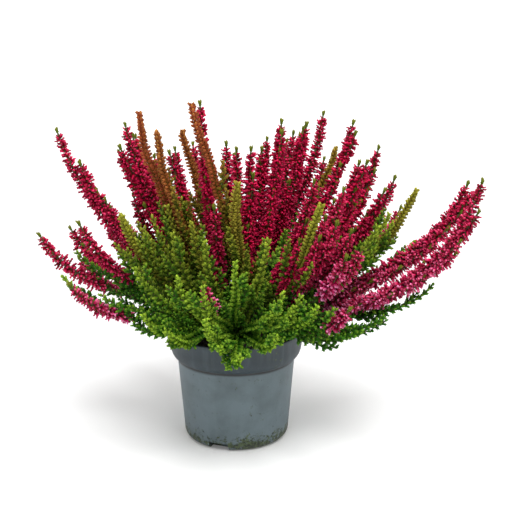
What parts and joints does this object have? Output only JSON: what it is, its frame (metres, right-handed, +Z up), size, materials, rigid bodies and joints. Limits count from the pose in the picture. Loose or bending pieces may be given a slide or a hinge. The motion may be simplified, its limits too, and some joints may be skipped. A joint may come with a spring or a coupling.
{
  "type": "potted heather",
  "caption": "Bushy bud-blooming heather in a round plastic nursery pot: leafy shoots and upright crimson bud spikes fan out from peat soil.",
  "frame": {"origin": "middle of the pot's flat base, on the surface it stands on", "axes": "+Z up, -Y towards the viewer of the picture, +X to the viewer's right"},
  "size_m": [0.3656, 0.3103, 0.306],
  "materials": {
    "pot": "matt recycled plastic, dusty",
    "soil": "damp peat",
    "foliage": "leafy, slightly waxy",
    "buds": "satin closed buds"
  },
  "bodies": {
    "root": {"pot": "pot", "soil": "soil", "branch_01": "foliage", "branch_02": "foliage", "branch_03": "foliage", "branch_04": "foliage", "branch_05": "foliage", "branch_06": "foliage", "branch_07": "foliage", "branch_08": "foliage", "branch_09": "foliage", "branch_10": "foliage", "branch_11": "foliage", "branch_12": "foliage", "spike_back_a": "buds", "spike_back_b": "buds", "spike_back_c": "buds", "spike_back_d": "buds", "spike_back_e": "buds", "spike_back_f": "buds", "spike_back_left_a": "buds", "spike_back_left_b": "buds", "spike_back_left_c": "buds", "spike_back_left_d": "buds", "spike_back_right_a": "buds", "spike_back_right_b": "buds", "spike_back_right_c": "buds", "spike_centre_a": "buds", "spike_centre_b": "buds", "spike_centre_c": "buds", "spike_centre_tall": "buds", "spike_crown_a": "buds", "spike_crown_b": "buds", "spike_crown_c": "buds", "spike_crown_d": "buds", "spike_crown_e": "buds", "spike_front_middle": "buds", "spike_front_right": "buds", "spike_left_behind": "buds", "spike_left_droop": "buds", "spike_left_fork": "buds", "spike_left_high": "buds", "spike_left_low": "buds", "spike_left_mid": "buds", "spike_left_slim": "buds", "spike_left_slim_behind": "buds", "spike_left_tall": "buds", "spike_right_front": "buds", "spike_right_low": "buds", "spike_right_mid": "buds", "spike_right_tall": "buds", "spike_small_front": "buds", "spike_small_right": "buds", "spike_sweep_high": "buds", "spike_sweep_low": "buds"}
  },
  "joints": []
}
